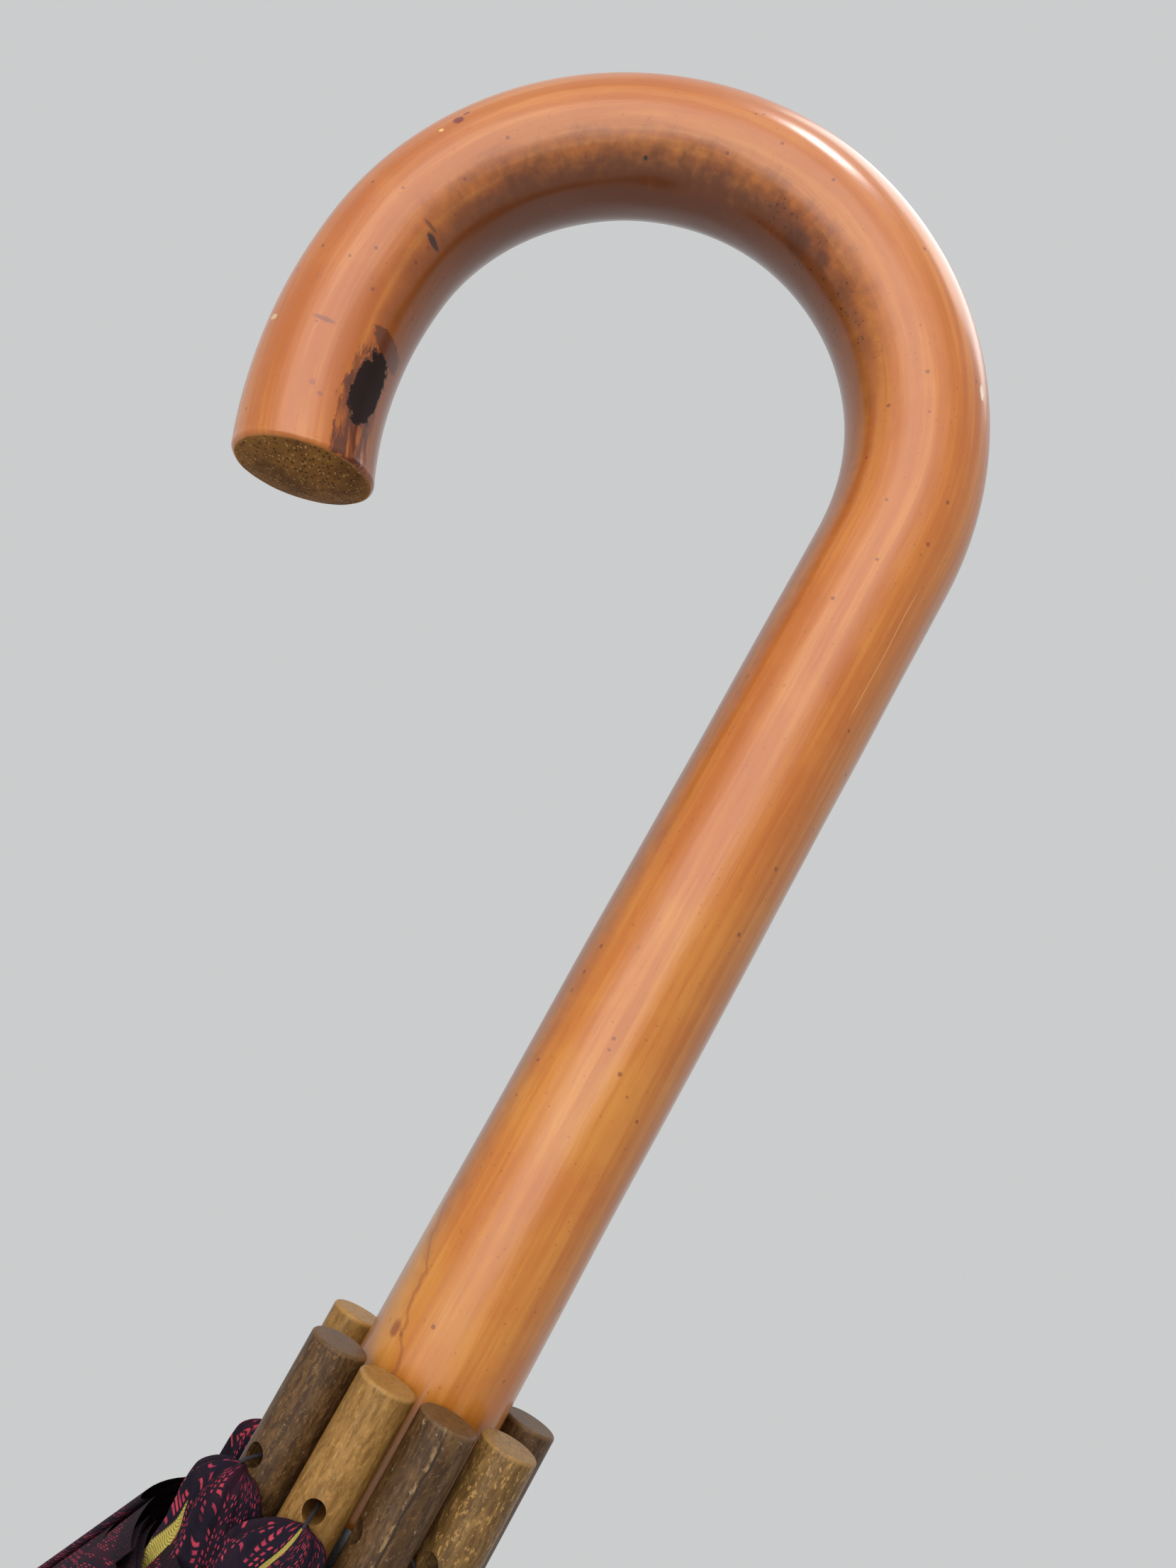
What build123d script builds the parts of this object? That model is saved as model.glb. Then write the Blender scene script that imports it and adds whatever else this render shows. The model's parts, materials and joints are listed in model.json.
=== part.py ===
from build123d import *
from math import asin, atan2, cos, degrees, hypot, radians, sin, tan
import os

# A stick umbrella with a bent cane crook, closed, handle up. Its eight ribs lie along the shaft
# and their wooden tips ring the lower end of the handle. Millimetres. +Z runs up the shaft, the
# crook turns towards -X, and the origin is on the shaft axis where the straight grip meets the bend.

# ---- driving dimensions ----

# cane handle: a straight grip and a crook of three tangent arcs that open towards the cut end
handle_radius = 12.0
grip_length = 145.5  # from the rib tips' end faces to the bend
handle_below_tips = 19.5  # how far the handle runs on inside the ring of tips
crook_radii = (58.0, 49.3, 85.0)
crook_turns = (72.0, 104.3, 29.5)
crook_end_fillet = 1.2
handle_foot_chamfer = 0.8

# shaft: a steel tube glued into the handle
shaft_radius = 5.0
shaft_wall = 0.8
shaft_in_handle = 50.0
shaft_in_ferrule = 32.0

# rib cage
rib_count = 8
first_rib_angle = 22.5  # degrees about the shaft, from +X
rib_reach = 556.0  # from the notch hinge to the tip's end face
open_angle = 72.0  # between a rib and the shaft, umbrella open
rib_width = 3.4
rib_depth = 3.6
rib_gauge = 0.5
rib_offset = 0.5  # the channel's middle lies this far outside the line of its hinges
rib_clear_of_notch = 6.0
rib_straight_beyond_joint = 115.0  # farther out, a closed rib is pushed aside by its neighbours
stretcher_width = 1.8
stretcher_depth = 2.6
eye_radius = 1.5
eye_width = 1.2
eye_neck = 12.0
joint_pin_radius = 0.6
joint_pin_head = 0.4
joint_pin_head_radius = 1.1
joint_clearance = 0.08

# the closed ribs crowd together in places: how far each tip settles about the shaft, in degrees
tip_settling = (1.5, 2.5, 7.5, -5.5, 20.5, 7.5, -5.5, -15.5)
# the direction in which each tip's sewing hole faces, from straight outwards, in degrees
tip_hole_turn = (90.0, 75.0, 90.0, 80.0, 32.0, 22.0, 95.0, 80.0)

# wooden tips
tip_radius = 4.3
tip_length = 30.0
tip_socket_depth = 9.0
tip_socket_radius = 2.65
tip_hole_radius = 1.6
tip_hole_from_end = 17.0
tip_edge_fillet = 0.5
tip_clear_of_handle = 0.25

# notch and runner crowns: slotted collars, each with a wire ring that carries eight eyes
ring_radius = 8.6
ring_wire_radius = 0.5
ring_eye_clearance = 0.2
ring_groove_clearance = 0.05
crown_radius = 10.0
crown_half_height = 4.0
crown_slot_width = 1.6
crown_slot_floor = 6.75
crown_fillet = 0.4

# runner
runner_clearance = 0.1
runner_wall = 1.5
runner_lip_fillet = 0.5
runner_sleeve_length = 38.0  # above its ring
runner_window_width = 2.4
runner_below_handle = 38.5  # from the closed runner's sleeve to the handle

# catch springs: leaves inside the shaft whose noses stand out through slots in it
spring_length = 32.0
spring_thickness = 1.0
spring_width = 1.2
spring_nose_height = 8.0
spring_nose_reach = 7.4  # from the shaft axis
spring_foot_reach = 4.1
spring_root = 2.4  # the foot's inner side, from the shaft axis
spring_press_angle = 7.6
spring_slot_side_gap = 0.3
spring_slot_end_gap = 1.6
hand_spring_nose_above_ring = 30.0
top_spring_clearance = 0.4

# stop pin under the open runner
stop_pin_radius = 0.8
stop_pin_reach = 6.6
stop_clearance = 0.3
stop_pin_fillet = 0.3

# ferrule end
rosette_radius = 12.0
rosette_thickness = 1.0
cap_height = 14.0
cap_top_radius = 11.5
cap_bottom_radius = 7.0
cap_bulge = 1.0  # how far its side stands out from a straight cone
ferrule_length = 70.0
ferrule_top_radius = 6.8
ferrule_bottom_radius = 5.0
ferrule_tip_radius = 4.5
ferrule_tip_length = 12.0
ferrule_spigot_radius = 2.5
ferrule_spigot_length = 10.0
ferrule_tip_fillet = 1.2

# canopy: each gore hangs as one folded lobe between two ribs
cloth_clearance = 0.3
seam_gap = 0.35  # half the space between two gores on a rib, as an arc length
hem_clear_of_tips = 1.0
lobe_height_shares = (0.0229, 0.2286, 0.5333, 0.7619, 0.8952, 0.9619, 1.0)  # of the way up to the hem
lobe_folds = (3.5, 8.0, 11.0, 16.0, 28.0, 31.0, 17.0)  # how far the fold stands out from the ribs
lobe_widest_at = 0.62  # share of the way out
lobe_widest_share = 0.42  # share of the sector on each side of its middle

# tie band on one gore, between two of the heights
band_width = 16.0
band_thickness = 1.2
snap_radius = 5.5
snap_height = 2.0
snap_inset = 12.0
snap_fillet = 1.0

# how far a cut runs on past the wall it opens
cut_allowance = 1.0

# ---- derived places ----

tip_axis_radius = handle_radius + tip_clear_of_handle + tip_radius
handle_foot = -(grip_length + handle_below_tips)
# the ribs lean outwards from the notch so that the tips lie along the handle
lean = degrees(asin((tip_axis_radius - ring_radius - rib_offset) / (rib_reach - handle_below_tips)))
notch_height = -grip_length - rib_reach * cos(radians(lean))
runner_closed = handle_foot - runner_below_handle - runner_sleeve_length
# the rib's joint halves the way from the notch to the closed runner, so both arms are this long
stretcher_length = (runner_closed - notch_height) / 2 / cos(radians(lean))
rib_straight_run = stretcher_length + rib_straight_beyond_joint
runner_open = notch_height + 2 * stretcher_length * cos(radians(open_angle))
shaft_top = handle_foot + shaft_in_handle
cap_top = notch_height - crown_half_height - rosette_thickness
ferrule_top = cap_top - cap_height
ferrule_bottom = ferrule_top - ferrule_length
shaft_bottom = ferrule_top - shaft_in_ferrule
runner_bore = shaft_radius + runner_clearance
runner_radius = runner_bore + runner_wall
hand_spring_foot = runner_closed + hand_spring_nose_above_ring - spring_length
top_spring_foot = runner_open + runner_sleeve_length + top_spring_clearance + spring_length
end_run = rib_reach - rib_straight_run
rib_in_tip = end_run - tip_length + tip_socket_depth
hem_height = rib_reach - tip_length - hem_clear_of_tips
lobe_heights = [share * hem_height for share in lobe_height_shares]

os.makedirs("parts", exist_ok=True)


def save(builder, name):
    """Label a finished piece and write it to its own STEP file."""
    builder.part.label = name
    export_step(builder.part, f"parts/{name}.step")


def outward(angle):
    """Unit vector from the shaft, at an angle about it."""
    return Vector(cos(radians(angle)), sin(radians(angle)), 0)


def rib_angle(i):
    return first_rib_angle + i * 360 / rib_count


def rib_line(i, along):
    """Point on the line of rib i's hinges, that far from the notch hinge. It leans out and sways aside."""
    radial = outward(rib_angle(i))
    aside = outward(rib_angle(i) + 90)
    settled = (tip_axis_radius - rib_offset) * tan(radians(tip_settling[i]))
    swayed = settled * max(0, along - rib_straight_run) / (rib_reach - rib_straight_run)
    out = ring_radius + along * sin(radians(lean))
    up = notch_height + along * cos(radians(lean))
    return radial * out + aside * swayed + Vector(0, 0, up)


def frame_between(i, start, end):
    """Z runs from one point of rib i's hinge line to another, X points away from the shaft."""
    direction = (end - start).normalized()
    aside = direction.cross(outward(rib_angle(i))).normalized()
    return Plane(origin=start, x_dir=aside.cross(direction), z_dir=direction)


def rib_frame(i):
    """The rib's straight run, from its notch hinge."""
    return frame_between(i, rib_line(i, 0), rib_line(i, rib_straight_run))


def rib_end_frame(i):
    """The rib's end run, from where its neighbours push it aside."""
    return frame_between(i, rib_line(i, rib_straight_run), rib_line(i, rib_reach))


def stretcher_frame(i):
    """The stretcher, from the rib's joint to the runner's ring."""
    return frame_between(
        i,
        rib_line(i, stretcher_length),
        outward(rib_angle(i)) * ring_radius + Vector(0, 0, runner_closed),
    )


def side_of(frame):
    """The plane in which a rib or stretcher swings: X outwards, Y along it."""
    return Plane(origin=frame.origin, x_dir=frame.x_dir, z_dir=-frame.y_dir)


# ---- handle ----

with BuildPart() as crook_handle:
    with BuildLine(Plane.XZ) as cane_line:
        Line((0, handle_foot), (0, 0))
        for radius, turn in zip(crook_radii, crook_turns):
            end = cane_line.line @ 1
            tangent = cane_line.line % 1
            JernArc(start=(end.X, end.Z), tangent=(tangent.X, tangent.Z), radius=radius, arc_size=turn)
    with BuildSketch(Plane.XY.offset(handle_foot)):
        Circle(handle_radius)
    sweep(path=cane_line.line)
    cut_face = crook_handle.faces().filter_by(GeomType.PLANE).sort_by(Axis.X)[0]
    fillet(cut_face.edges(), crook_end_fillet)
    foot_face = crook_handle.faces().filter_by(GeomType.PLANE).sort_by(Axis.Z)[0]
    chamfer(foot_face.edges(), handle_foot_chamfer)
    with BuildSketch(Plane.XY.offset(handle_foot)):
        Circle(shaft_radius)
    extrude(amount=shaft_in_handle, mode=Mode.SUBTRACT)
save(crook_handle, "crook_handle")

# ---- shaft, with its spring slots and the hole for the stop pin ----

slot_width = spring_width + 2 * spring_slot_side_gap
slot_height = spring_nose_height + 2 * spring_slot_end_gap
stop_pin_height = runner_open - crown_half_height - stop_clearance - stop_pin_radius

with BuildPart() as shaft:
    with BuildSketch(Plane.XY.offset(shaft_bottom)):
        Circle(shaft_radius)
        Circle(shaft_radius - shaft_wall, mode=Mode.SUBTRACT)
    extrude(amount=shaft_top - shaft_bottom)
    for nose_middle in (
        hand_spring_foot + spring_length - spring_nose_height / 2,
        top_spring_foot - spring_length + spring_nose_height / 2,
    ):
        with BuildSketch(Plane.YZ):
            with Locations((0, nose_middle)):
                SlotOverall(slot_height, slot_width, rotation=90)
        extrude(amount=shaft_radius + cut_allowance, mode=Mode.SUBTRACT)
    with BuildSketch(Plane.XZ):
        with Locations((0, stop_pin_height)):
            Circle(stop_pin_radius)
    extrude(amount=shaft_radius + cut_allowance, both=True, mode=Mode.SUBTRACT)
save(shaft, "shaft")

with BuildPart() as stop_pin:
    with BuildSketch(Plane.XZ):
        with Locations((0, stop_pin_height)):
            Circle(stop_pin_radius)
    extrude(amount=stop_pin_reach, both=True)
    fillet(stop_pin.edges().filter_by(GeomType.CIRCLE), stop_pin_fillet)
save(stop_pin, "runner_stop_pin")

# ---- catch springs ----


def catch_spring(foot, direction):
    """A leaf that leaves its foot at the shaft's back wall and ends in a nose outside the slot."""
    leaf_end = spring_length - spring_nose_height
    nose_root = shaft_radius - shaft_wall - spring_thickness
    outline = (
        (-spring_foot_reach, 0),
        (-spring_root, 0),
        (nose_root, leaf_end),
        (spring_nose_reach, spring_length),
        (nose_root - spring_thickness, spring_length),
        (-spring_foot_reach + spring_thickness, spring_thickness),
        (-spring_foot_reach, spring_thickness),
    )
    with BuildPart() as spring:
        with BuildSketch(Plane.XZ):
            with BuildLine():
                Polyline([(x, foot + direction * y) for x, y in outline], close=True)
            make_face()
        extrude(amount=spring_width / 2, both=True)
    return spring


save(catch_spring(hand_spring_foot, 1), "hand_spring")
save(catch_spring(top_spring_foot, -1), "top_spring")

# ---- notch and runner ----


def crown(height):
    """A collar with eight slots and the groove for its wire ring."""
    groove_floor = ring_radius - ring_wire_radius - ring_groove_clearance
    groove_height = 2 * (ring_wire_radius + ring_groove_clearance)
    slot_depth = crown_radius + cut_allowance - crown_slot_floor
    with BuildPart() as collar:
        with BuildSketch(Plane.XY.offset(height - crown_half_height)):
            Circle(crown_radius)
        extrude(amount=2 * crown_half_height)
        fillet(collar.edges(), crown_fillet)
        with BuildSketch(Plane.XY.offset(height - crown_half_height)):
            with PolarLocations(crown_slot_floor + slot_depth / 2, rib_count, first_rib_angle):
                Rectangle(slot_depth, crown_slot_width)
        extrude(amount=2 * crown_half_height, mode=Mode.SUBTRACT)
        with BuildSketch(Plane.XY.offset(height - groove_height / 2)):
            Circle(crown_radius + cut_allowance)
            Circle(groove_floor, mode=Mode.SUBTRACT)
        extrude(amount=groove_height, mode=Mode.SUBTRACT)
    return collar


def wire_ring(height):
    """The closed wire that eight eyes hang on."""
    with BuildPart() as ring:
        with BuildSketch(Plane.XZ):
            with Locations((ring_radius, height)):
                Circle(ring_wire_radius)
        revolve(axis=Axis.Z)
    return ring


with BuildPart() as top_notch:
    add(crown(notch_height).part)
    with BuildSketch(Plane.XY.offset(notch_height - crown_half_height)):
        Circle(shaft_radius)
    extrude(amount=2 * crown_half_height, mode=Mode.SUBTRACT)
save(top_notch, "top_notch")
save(wire_ring(notch_height), "notch_ring")

with BuildPart() as runner:
    with BuildSketch(Plane.XY.offset(runner_closed)):
        Circle(runner_radius)
    extrude(amount=runner_sleeve_length)
    fillet(runner.edges().group_by(Axis.Z)[-1], runner_lip_fillet)
    add(crown(runner_closed).part)
    with BuildSketch(Plane.XY.offset(runner_closed - crown_half_height)):
        Circle(runner_bore)
    extrude(amount=crown_half_height + runner_sleeve_length, mode=Mode.SUBTRACT)
    # the window that the hand spring's nose stands in while the umbrella is closed
    with BuildSketch(Plane.YZ):
        with Locations((0, runner_closed + hand_spring_nose_above_ring - spring_nose_height / 2)):
            Rectangle(runner_window_width, spring_nose_height + 2 * spring_slot_end_gap)
    extrude(amount=runner_radius + cut_allowance, mode=Mode.SUBTRACT)
save(runner, "runner")
save(wire_ring(runner_closed), "runner_ring")

# ---- ferrule end ----

with BuildPart() as outer_rosette:
    with BuildSketch(Plane.XY.offset(cap_top)):
        Circle(rosette_radius)
        Circle(shaft_radius, mode=Mode.SUBTRACT)
    extrude(amount=rosette_thickness)
save(outer_rosette, "outer_rosette")

with BuildPart() as ferrule_cap:
    with BuildSketch(Plane.XZ):
        with BuildLine():
            Polyline((shaft_radius, ferrule_top), (cap_bottom_radius, ferrule_top))
            ThreePointArc(
                (cap_bottom_radius, ferrule_top),
                ((cap_top_radius + cap_bottom_radius) / 2 + cap_bulge, cap_top - cap_height / 2),
                (cap_top_radius, cap_top),
            )
            Polyline((cap_top_radius, cap_top), (shaft_radius, cap_top), (shaft_radius, ferrule_top))
        make_face()
    revolve(axis=Axis.Z)
save(ferrule_cap, "ferrule_cap")

with BuildPart() as ferrule:
    with BuildSketch(Plane.XZ):
        with BuildLine():
            Polyline(
                (0, ferrule_bottom),
                (ferrule_bottom_radius, ferrule_bottom),
                (ferrule_top_radius, ferrule_top),
                (shaft_radius, ferrule_top),
                (shaft_radius, shaft_bottom),
                (0, shaft_bottom),
                close=True,
            )
        make_face()
    revolve(axis=Axis.Z)
    with BuildSketch(Plane.XY.offset(ferrule_bottom)):
        Circle(ferrule_spigot_radius)
    extrude(amount=ferrule_spigot_length, mode=Mode.SUBTRACT)
save(ferrule, "ferrule")

with BuildPart() as ferrule_tip:
    with BuildSketch(Plane.XY.offset(ferrule_bottom)):
        Circle(ferrule_tip_radius)
    extrude(amount=-ferrule_tip_length)
    fillet(ferrule_tip.edges().group_by(Axis.Z)[0], ferrule_tip_fillet)
    with BuildSketch(Plane.XY.offset(ferrule_bottom)):
        Circle(ferrule_spigot_radius)
    extrude(amount=ferrule_spigot_length)
save(ferrule_tip, "ferrule_tip")

# ---- ribs, tips, joint pins and stretchers ----


def channel_section(plane):
    """The rib's section, open towards the shaft."""
    with BuildSketch(plane) as section:
        with Locations((rib_offset, 0)):
            Rectangle(rib_depth, rib_width)
        with Locations((rib_offset - rib_gauge, 0)):
            Rectangle(rib_depth, rib_width - 2 * rib_gauge, mode=Mode.SUBTRACT)
    return section.sketch


def make_rib(i):
    """A channel that is open towards the shaft, with a flat eye at the notch end."""
    frame = rib_frame(i)
    side = side_of(frame)
    web = rib_offset + rib_depth / 2 - rib_gauge / 2
    with BuildPart() as rib:
        run_from_notch = rib_straight_run - rib_clear_of_notch
        extrude(channel_section(frame.offset(rib_clear_of_notch)), amount=run_from_notch)
        extrude(channel_section(rib_end_frame(i).offset(-rib_gauge)), amount=rib_in_tip + rib_gauge)
        with BuildSketch(side):
            Circle(eye_radius)
            with Locations(((web - eye_radius) / 2, eye_neck / 2)):
                Rectangle(web + eye_radius, eye_neck)
            Circle(ring_wire_radius + ring_eye_clearance, mode=Mode.SUBTRACT)
        extrude(amount=eye_width / 2, both=True)
        with BuildSketch(side):
            with Locations((0, stretcher_length)):
                Circle(joint_pin_radius)
        extrude(amount=rib_width, both=True, mode=Mode.SUBTRACT)
    return rib


def make_tip(i):
    """A turned wooden tip that the rib's end is set in, drilled across for the sewing thread."""
    frame = rib_end_frame(i)
    with BuildPart() as tip:
        with BuildSketch(frame.offset(end_run - tip_length)):
            with Locations((rib_offset, 0)):
                Circle(tip_radius)
        extrude(amount=tip_length)
        fillet(tip.edges().filter_by(GeomType.CIRCLE), tip_edge_fillet)
        with BuildSketch(frame.offset(end_run - tip_length)):
            with Locations((rib_offset, 0)):
                Circle(tip_socket_radius)
        extrude(amount=tip_socket_depth, mode=Mode.SUBTRACT)
        centre = frame.from_local_coords((rib_offset, 0, end_run - tip_hole_from_end))
        facing = frame.x_dir.rotate(Axis((0, 0, 0), frame.z_dir), tip_hole_turn[i])
        with BuildSketch(Plane(origin=centre, x_dir=frame.z_dir, z_dir=facing)):
            Circle(tip_hole_radius)
        extrude(amount=tip_radius + cut_allowance, both=True, mode=Mode.SUBTRACT)
    return tip


def make_joint_pin(i):
    """The rivet on which a stretcher turns inside its rib."""
    side = side_of(rib_frame(i))
    middle = side.from_local_coords((0, stretcher_length, 0))
    half = rib_width / 2
    with BuildPart() as pin:
        with BuildSketch(Plane(origin=middle, x_dir=side.x_dir, z_dir=side.z_dir)):
            Circle(joint_pin_radius)
        extrude(amount=half, both=True)
        for facing in (1, -1):
            direction = side.z_dir * facing
            with BuildSketch(Plane(origin=middle + direction * half, x_dir=side.x_dir, z_dir=direction)):
                Circle(joint_pin_head_radius)
            extrude(amount=joint_pin_head)
    return pin


def make_stretcher(i):
    """A bar from the rib's joint to the runner's ring, thinned to an eye at the ring."""
    side = side_of(stretcher_frame(i))
    half_depth = stretcher_depth / 2
    thick_end = stretcher_length - eye_neck
    with BuildPart() as stretcher:
        with BuildSketch(side):
            Circle(eye_radius)
            with Locations((0, thick_end / 2)):
                Rectangle(2 * half_depth, thick_end)
            Circle(joint_pin_radius + joint_clearance, mode=Mode.SUBTRACT)
        extrude(amount=stretcher_width / 2, both=True)
        with BuildSketch(side):
            with Locations((0, stretcher_length)):
                Circle(eye_radius)
            with Locations((0, stretcher_length - eye_neck / 2)):
                Rectangle(2 * half_depth, eye_neck)
            with Locations((0, stretcher_length)):
                Circle(ring_wire_radius + ring_eye_clearance, mode=Mode.SUBTRACT)
        extrude(amount=eye_width / 2, both=True)
    return stretcher


for i in range(rib_count):
    save(make_rib(i), f"rib_{i + 1}")
    save(make_tip(i), f"rib_tip_{i + 1}")
    save(make_joint_pin(i), f"joint_pin_{i + 1}")
    save(make_stretcher(i), f"stretcher_{i + 1}")

# ---- canopy ----


def over_rib(i, height, aside):
    """Point just outside rib i's back, that far to its side, at a height above the notch hinge."""
    i = i % rib_count
    back = rib_offset + rib_depth / 2 + cloth_clearance
    return rib_line(i, height) + outward(rib_angle(i)) * back + outward(rib_angle(i) + 90) * aside


def turn_between(a, b, share):
    """Angle about the shaft, that share of the way from point a to point b."""
    start = Vector(a.X, a.Y, 0)
    end = Vector(b.X, b.Y, 0)
    return degrees(atan2(start.Y, start.X)) + start.get_angle(end) * share


def flat(point):
    return (point.X, point.Y)


def fold_point(a, b, share, fold):
    """Point of a fold that spans the ribs' backs at a and b, standing that far out from them."""
    radius = (hypot(a.X, a.Y) + hypot(b.X, b.Y)) / 2 + fold
    level = Vector(0, 0, (a.Z + b.Z) / 2)
    return outward(turn_between(a, b, share)) * radius + level


def lobe_section(i, height, fold):
    """Outline of gore i's fold: from rib to rib, out to the fold's crest and back."""
    corner = rib_width / 2 + cloth_clearance
    a = over_rib(i, height, seam_gap)
    b = over_rib(i + 1, height, -seam_gap)
    shoulder = fold * lobe_widest_at
    left = fold_point(a, b, 0.5 - lobe_widest_share, shoulder)
    right = fold_point(a, b, 0.5 + lobe_widest_share, shoulder)
    level = a.Z
    with BuildSketch(Plane.XY.offset(level)) as section:
        with BuildLine():
            Line(flat(a), flat(left))
            ThreePointArc(flat(left), flat(fold_point(a, b, 0.5, fold)), flat(right))
            Polyline(
                flat(right),
                flat(b),
                flat(over_rib(i + 1, height, -corner)),
                flat(over_rib(i, height, corner)),
                flat(a),
            )
        make_face()
    return section


for i in range(rib_count):
    with BuildPart() as gore:
        sections = [lobe_section(i, *station).sketch for station in zip(lobe_heights, lobe_folds)]
        loft(sections=sections, ruled=True)
    save(gore, f"canopy_panel_{i + 1}")

# ---- tie band, lying along the crest of one gore ----


def crest(i, station):
    """Outermost point of gore i's fold at one of the heights."""
    height = lobe_heights[station]
    fold = lobe_folds[station]
    return fold_point(over_rib(i, height, seam_gap), over_rib(i + 1, height, -seam_gap), 0.5, fold)


band_gore = rib_count // 2 - 1
band_station = len(lobe_heights) // 2 - 1
band_start = crest(band_gore, band_station)
band_end = crest(band_gore, band_station + 1)
band_run = (band_end - band_start).normalized()
band_radial = Vector(band_start.X, band_start.Y, 0).normalized()
band_side = band_run.cross(band_radial).normalized()
band_out = band_side.cross(band_run)
band_length = (band_end - band_start).length
band_plane = Plane(origin=band_start + band_out * cloth_clearance, x_dir=band_run, z_dir=band_out)

with BuildPart() as tie_band:
    with BuildSketch(band_plane):
        with Locations((band_length / 2, 0)):
            SlotOverall(band_length, band_width)
    extrude(amount=band_thickness)
save(tie_band, "tie_band")

snap_axis = Axis(band_start, band_out)
with BuildPart() as band_snap:
    with BuildSketch(band_plane.offset(band_thickness)):
        with Locations((snap_inset, 0)):
            Circle(snap_radius)
    extrude(amount=snap_height)
    fillet(band_snap.faces().filter_by(snap_axis).sort_by(snap_axis)[-1].edges(), snap_fillet)
save(band_snap, "band_snap")
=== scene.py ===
"""A closed stick umbrella with a bent cane crook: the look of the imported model, in its frame (metres, +Z up)."""

import json
import math

import bpy
import numpy as np
from mathutils import Matrix, Vector, noise


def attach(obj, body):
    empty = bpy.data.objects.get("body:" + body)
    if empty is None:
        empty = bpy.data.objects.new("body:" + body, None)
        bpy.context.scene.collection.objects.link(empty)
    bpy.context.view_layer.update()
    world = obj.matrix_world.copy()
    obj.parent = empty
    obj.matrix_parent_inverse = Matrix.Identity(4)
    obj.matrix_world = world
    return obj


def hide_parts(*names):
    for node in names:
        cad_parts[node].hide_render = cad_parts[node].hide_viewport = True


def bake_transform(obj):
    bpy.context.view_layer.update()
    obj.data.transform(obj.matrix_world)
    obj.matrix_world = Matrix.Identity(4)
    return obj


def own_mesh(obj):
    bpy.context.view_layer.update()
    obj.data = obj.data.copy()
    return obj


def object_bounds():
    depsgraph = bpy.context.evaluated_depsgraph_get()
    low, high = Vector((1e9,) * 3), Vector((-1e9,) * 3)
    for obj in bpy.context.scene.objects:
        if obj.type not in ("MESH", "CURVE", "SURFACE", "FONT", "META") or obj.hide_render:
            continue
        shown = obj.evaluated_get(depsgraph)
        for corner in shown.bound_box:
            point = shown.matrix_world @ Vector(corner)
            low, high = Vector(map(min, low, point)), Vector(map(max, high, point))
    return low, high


MM = 0.001
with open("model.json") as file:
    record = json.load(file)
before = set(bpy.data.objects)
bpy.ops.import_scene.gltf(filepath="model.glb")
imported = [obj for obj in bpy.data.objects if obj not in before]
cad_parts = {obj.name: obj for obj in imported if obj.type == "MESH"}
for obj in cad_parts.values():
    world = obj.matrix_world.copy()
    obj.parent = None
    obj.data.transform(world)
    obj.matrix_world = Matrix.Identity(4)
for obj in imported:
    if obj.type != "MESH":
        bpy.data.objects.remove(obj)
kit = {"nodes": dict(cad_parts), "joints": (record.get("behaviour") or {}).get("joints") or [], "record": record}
cad_low, cad_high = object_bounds()
nodes = kit["nodes"]
joint_list = {j["name"]: j for j in kit["joints"]}
rng = np.random.default_rng(7)

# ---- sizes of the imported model, in millimetres ----

HANDLE_FOOT = -165.0  # lower end of the cane
CROOK = ((58.0, 72.0), (49.3, 104.3), (85.0, 29.5))  # radius and turn in degrees of each bend
CANE_RADII = (11.7, 12.15, 12.5)  # at the foot, where the bend begins, and at the cut end
CUT_ROUNDING = 1.1
CUT_ASKEW = 1.7  # how far the cut end leans, longer towards the inside of the bend
CUT_DOME = 2.6
NOTCH = -701.446  # height of the rib hinges
RING = 8.6  # their distance from the shaft's axis
REACH = 556.0  # from a rib's hinge to the end of its tip
LEAN = math.radians(0.7957)
STRAIGHT = 345.0  # from here on a closed rib bends sideways to its place round the grip
TIP_AXIS = 16.05
SETTLING = (1.5, 2.5, 7.5, -5.5, 20.5, 7.5, -5.5, -15.5)  # degrees that each tip sits off its even place
HOLE_TURN = (90.0, 75.0, 90.0, 80.0, 32.0, 22.0, 95.0, 80.0)  # way that each tip's hole faces
HOLE_DROP = 17.0  # from a tip's end to the middle of its hole
TIP_END = -145.5
FIRST = 22.5
SPACING = 45.0
CLOTH_START = 14.0
HEM = 525.0
FLAT_SPREAD = 0.739  # width of the flat gore for each millimetre along the rib
FOLD_STATIONS = (0.0, 12.0, 120.0, 280.0, 400.0, 470.0, 500.0, 525.0)
FOLD_DEPTHS = (2.0, 3.5, 8.0, 11.5, 17.0, 28.0, 27.0, 10.5)


def outward(deg):
    return np.array([math.cos(math.radians(deg)), math.sin(math.radians(deg)), 0.0])


def rib_angle(i):
    return FIRST + SPACING * i


def rib_line(i, along, back=0.0):
    """Point on rib i's hinge line, that far from the notch hinge, and that far outside it."""
    i = i % 8
    out, side = outward(rib_angle(i)), outward(rib_angle(i) + 90)
    sway = TIP_AXIS * math.tan(math.radians(SETTLING[i])) * max(0.0, along - STRAIGHT) / (REACH - STRAIGHT)
    return (
        out * (RING + along * math.sin(LEAN) + back)
        + side * sway
        + np.array([0, 0, NOTCH + along * math.cos(LEAN)])
    )


def rotation(axis, angle):
    x, y, z = np.array(axis, float) / np.linalg.norm(axis)
    k = np.array([[0, -z, y], [z, 0, -x], [-y, x, 0]])
    return np.eye(3) + math.sin(angle) * k + (1 - math.cos(angle)) * k @ k


def hinge_motion(name, share=1.0):
    """4x4 motion in millimetres of a hinge at that share of its range."""
    j = joint_list[name]
    r = rotation(j["axis"], math.radians(j["range_deg"][1]) * share)
    p = np.array(j["pos_m"]) / MM
    m = np.eye(4)
    m[:3, :3] = r
    m[:3, 3] = p - r @ p
    return m


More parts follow.
